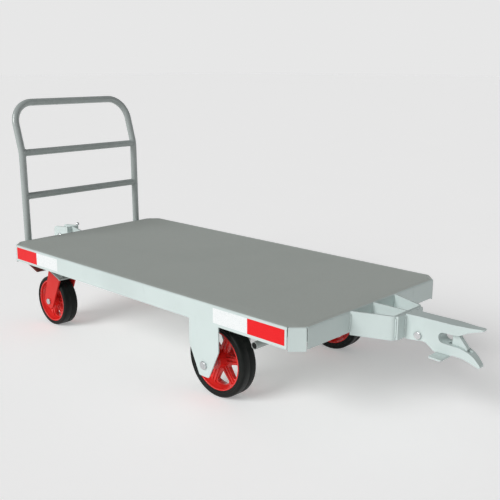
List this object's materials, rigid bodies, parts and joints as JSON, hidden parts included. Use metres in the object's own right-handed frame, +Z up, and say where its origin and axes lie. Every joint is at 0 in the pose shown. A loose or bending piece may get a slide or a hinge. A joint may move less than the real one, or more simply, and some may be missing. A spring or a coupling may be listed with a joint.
{
  "type": "tow-train platform cart",
  "caption": "Flat steel platform cart on fixed front wheels and rear swivel castors, with a two-bar push hoop, a spring-latched tow jaw and a rear pin receiver.",
  "frame": {"origin": "on the floor, under the middle of the overall box, on the cart's centre line", "axes": "+X forward towards the tow jaw, +Y to the left, +Z up"},
  "size_m": [2.1957, 0.804, 0.944],
  "materials": {
    "deck_paint": "fine matt texture",
    "skirt_paint": "satin",
    "frame_paint": "satin",
    "rim_red": "gloss",
    "tyre": "matt",
    "fork_red": "gloss",
    "zinc": "zinc plated",
    "tube_silver": "satin",
    "hitch_paint": "satin",
    "chrome": "polished",
    "spring_steel": "oiled",
    "tape_red": "reflective",
    "tape_white": "reflective"
  },
  "bodies": {
    "chassis": {"deck_sheet": "deck_paint", "side_plate_right": "skirt_paint", "side_plate_left": "skirt_paint", "front_skirt": "skirt_paint", "rear_skirt": "skirt_paint", "corner_front_left": "skirt_paint", "corner_rear_left": "skirt_paint", "corner_rear_right": "skirt_paint", "corner_front_right": "skirt_paint", "frame_rail_left": "frame_paint", "frame_rail_right": "frame_paint", "cross_beam_front": "frame_paint", "cross_beam_middle": "frame_paint", "cross_beam_rear": "frame_paint", "inner_bracket_left": "frame_paint", "inner_bracket_right": "frame_paint", "tie_tube": "frame_paint", "tie_hangers": "frame_paint", "castor_plate_left": "frame_paint", "castor_plate_right": "frame_paint", "front_axle_bolts": "zinc", "front_axle_nuts": "zinc", "front_axle_spacers": "zinc", "castor_plate_bolts": "zinc", "castor_kingpins": "zinc", "handle_hoop": "tube_silver", "handle_bar_lower": "tube_silver", "handle_bar_upper": "tube_silver", "handle_clamps": "tube_silver", "hitch_bracket": "hitch_paint", "hitch_divider": "hitch_paint", "adapter_plate": "hitch_paint", "rear_receiver": "hitch_paint", "tow_jaw": "hitch_paint", "latch_pin": "chrome", "latch_spring": "spring_steel", "tape_red": "tape_red", "tape_white": "tape_white"},
    "front_wheel_left": {"front_rim_left": "rim_red", "front_tyre_left": "tyre"},
    "castor_left": {"castor_head_left": "frame_paint", "castor_fork_left": "fork_red", "castor_axle_left": "zinc", "castor_nut_left": "zinc"},
    "castor_wheel_left": {"castor_rim_left": "rim_red", "castor_tyre_left": "tyre"},
    "brake_left": {"brake_pedal_left": "fork_red"},
    "front_wheel_right": {"front_rim_right": "rim_red", "front_tyre_right": "tyre"},
    "castor_right": {"castor_head_right": "frame_paint", "castor_fork_right": "fork_red", "castor_axle_right": "zinc", "castor_nut_right": "zinc"},
    "castor_wheel_right": {"castor_rim_right": "rim_red", "castor_tyre_right": "tyre"},
    "brake_right": {"brake_pedal_right": "fork_red"},
    "latch": {"jaw_latch": "hitch_paint"},
    "coupling_pin": {"coupling_pin": "chrome"}
  },
  "joints": [
    {"name": "front_wheel_left_spin", "type": "hinge", "parent": "chassis", "child": "front_wheel_left", "pos_m": [0.312, 0.31, 0.13], "axis": [0, 1, 0], "continuous": true},
    {"name": "castor_left_swivel", "type": "hinge", "parent": "chassis", "child": "castor_left", "pos_m": [-0.678, 0.281, 0.27], "axis": [0, 0, 1], "continuous": true},
    {"name": "castor_wheel_left_spin", "type": "hinge", "parent": "castor_left", "child": "castor_wheel_left", "pos_m": [-0.728, 0.281, 0.106], "axis": [0, 1, 0], "continuous": true},
    {"name": "brake_left_press", "type": "hinge", "parent": "castor_left", "child": "brake_left", "pos_m": [-0.736, 0.281, 0.251], "axis": [0, -1, 0], "range_deg": [0, 23]},
    {"name": "front_wheel_right_spin", "type": "hinge", "parent": "chassis", "child": "front_wheel_right", "pos_m": [0.312, -0.31, 0.13], "axis": [0, 1, 0], "continuous": true},
    {"name": "castor_right_swivel", "type": "hinge", "parent": "chassis", "child": "castor_right", "pos_m": [-0.678, -0.281, 0.27], "axis": [0, 0, 1], "continuous": true},
    {"name": "castor_wheel_right_spin", "type": "hinge", "parent": "castor_right", "child": "castor_wheel_right", "pos_m": [-0.728, -0.281, 0.106], "axis": [0, 1, 0], "continuous": true},
    {"name": "brake_right_press", "type": "hinge", "parent": "castor_right", "child": "brake_right", "pos_m": [-0.736, -0.281, 0.251], "axis": [0, -1, 0], "range_deg": [0, 23]},
    {"name": "latch_open", "type": "hinge", "parent": "chassis", "child": "latch", "pos_m": [0.894, -0.0175, 0.287], "axis": [0, 1, 0], "range_deg": [0, 18], "stiffness_Nm_per_rad": 3, "springref_deg": -40.11, "deforming": ["latch_spring"]},
    {"name": "coupling_pin_pull", "type": "slide", "parent": "chassis", "child": "coupling_pin", "axis": [0, 1, 0], "range_m": [0, 0.07]}
  ]
}
